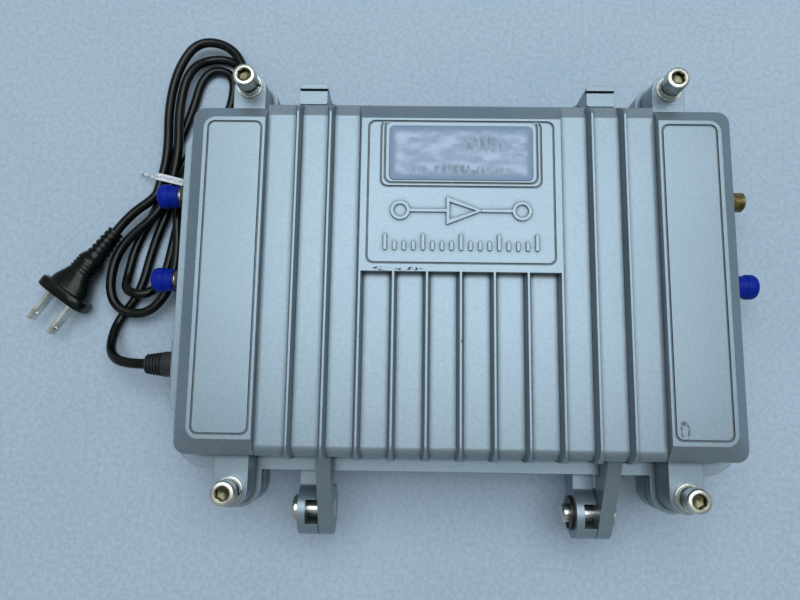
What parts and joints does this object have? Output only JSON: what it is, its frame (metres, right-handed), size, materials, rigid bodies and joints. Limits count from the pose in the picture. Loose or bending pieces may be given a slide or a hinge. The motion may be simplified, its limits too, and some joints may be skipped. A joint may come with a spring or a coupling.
{
  "type": "line amplifier housing",
  "caption": "Finned cast housing with a hinged bolted lid, side cable ports, a hanked mains cord and amplifier boards inside.",
  "frame": {"origin": "centre of the housing on its flat back face", "axes": "+X along the length to the end without the cord, +Y to the side with the strand tabs, +Z out through the lid"},
  "size_m": [0.3557, 0.2491, 0.0727],
  "materials": {
    "cast_alloy": "satin silver paint over a fine cast grain",
    "label": "faded satin film",
    "gasket_rubber": "matt black",
    "zinc_steel": "zinc plated, slightly yellow",
    "black_steel": "blackened",
    "port_metal": "nickel plated",
    "gilt_metal": "plain brass",
    "white_plastic": "plain white",
    "blue_plastic": "soft royal blue",
    "black_rubber": "satin black",
    "black_cord": "glossy black sheath",
    "circuit_board": "green solder mask",
    "tin_plate": "tinned sheet",
    "black_plastic": "moulded black",
    "iron_core": "laminated iron, varnished",
    "copper_coil": "enamelled wire, taped",
    "fuse_glass": "clear glass with end caps",
    "green_plastic": "moulded green",
    "lead_sleeve": "brown sleeve",
    "red_lens": "clear red lens"
  },
  "bodies": {
    "base": {"base_housing": "cast_alloy", "lid_gasket": "gasket_rubber", "hinge_pin_left": "zinc_steel", "hinge_pin_right": "zinc_steel", "hinge_clip": "black_steel", "port_left_upper": "port_metal", "port_left_lower": "port_metal", "port_right_upper": "gilt_metal", "port_right_lower": "port_metal", "port_nuts": "port_metal", "port_seals": "gasket_rubber", "port_insulators": "white_plastic", "port_contacts": "gilt_metal", "cable_gland": "black_rubber", "gland_nut": "black_rubber", "cord_lead": "black_cord", "cord_hank": "black_cord", "cord_tail": "black_cord", "twist_tie": "white_plastic", "plug_body": "black_cord", "plug_blades": "zinc_steel", "rf_board": "circuit_board", "power_board": "circuit_board", "board_screws": "zinc_steel", "amplifier_module": "tin_plate", "shield_can": "tin_plate", "control_bodies": "blue_plastic", "pad_sockets": "black_plastic", "transformer_core": "iron_core", "transformer_coil": "copper_coil", "filter_capacitors": "black_plastic", "heat_sink": "black_steel", "regulator": "black_plastic", "fuse": "fuse_glass", "fuse_clips": "tin_plate", "terminal_block": "green_plastic", "mains_leads": "lead_sleeve", "tuning_coils": "copper_coil", "pilot_lamp": "red_lens", "ground_screw": "gilt_metal"},
    "lid": {"lid_cover": "cast_alloy", "name_label": "label", "flat_washers": "zinc_steel", "spring_washers": "zinc_steel"},
    "attenuator_pad": {"attenuator_pad": "blue_plastic"},
    "cover_bolt_1": {"cover_bolt_1": "zinc_steel"},
    "cover_bolt_2": {"cover_bolt_2": "zinc_steel"},
    "cover_bolt_3": {"cover_bolt_3": "zinc_steel"},
    "cover_bolt_4": {"cover_bolt_4": "zinc_steel"},
    "dust_cap_left_lower": {"dust_cap_left_lower": "blue_plastic"},
    "dust_cap_left_upper": {"dust_cap_left_upper": "blue_plastic"},
    "dust_cap_right_lower": {"dust_cap_right_lower": "blue_plastic"},
    "equaliser_pad": {"equaliser_pad": "white_plastic"},
    "gain_knob": {"gain_knob": "white_plastic"},
    "tilt_knob": {"tilt_knob": "white_plastic"}
  },
  "joints": [
    {"name": "lid_hinge", "type": "hinge", "parent": "base", "child": "lid", "pos_m": [0, -0.0995, 0.027], "axis": [1, 0, 0], "range_deg": [0, 110]},
    {"name": "bolt_1_run", "type": "slide", "parent": "lid", "child": "cover_bolt_1", "axis": [0, 0, 1], "range_m": [-0.002, 0.03]},
    {"name": "bolt_2_run", "type": "slide", "parent": "lid", "child": "cover_bolt_2", "axis": [0, 0, 1], "range_m": [-0.002, 0.03]},
    {"name": "bolt_3_run", "type": "slide", "parent": "lid", "child": "cover_bolt_3", "axis": [0, 0, 1], "range_m": [-0.002, 0.03]},
    {"name": "bolt_4_run", "type": "slide", "parent": "lid", "child": "cover_bolt_4", "axis": [0, 0, 1], "range_m": [-0.002, 0.03]},
    {"name": "cap_left_upper_pull", "type": "slide", "parent": "base", "child": "dust_cap_left_upper", "axis": [-1, 0, 0], "range_m": [0, 0.025]},
    {"name": "cap_left_lower_pull", "type": "slide", "parent": "base", "child": "dust_cap_left_lower", "axis": [-1, 0, 0], "range_m": [0, 0.025]},
    {"name": "cap_right_lower_pull", "type": "slide", "parent": "base", "child": "dust_cap_right_lower", "axis": [1, 0, 0], "range_m": [0, 0.025]},
    {"name": "gain_turn", "type": "hinge", "parent": "base", "child": "gain_knob", "pos_m": [0.068, 0.02, 0.02], "axis": [0, 0, 1], "range_deg": [-135, 135]},
    {"name": "tilt_turn", "type": "hinge", "parent": "base", "child": "tilt_knob", "pos_m": [0.068, 0.048, 0.02], "axis": [0, 0, 1], "range_deg": [-135, 135]},
    {"name": "attenuator_pull", "type": "slide", "parent": "base", "child": "attenuator_pad", "axis": [0, 0, 1], "range_m": [0, 0.015]},
    {"name": "equaliser_pull", "type": "slide", "parent": "base", "child": "equaliser_pad", "axis": [0, 0, 1], "range_m": [0, 0.015]}
  ]
}
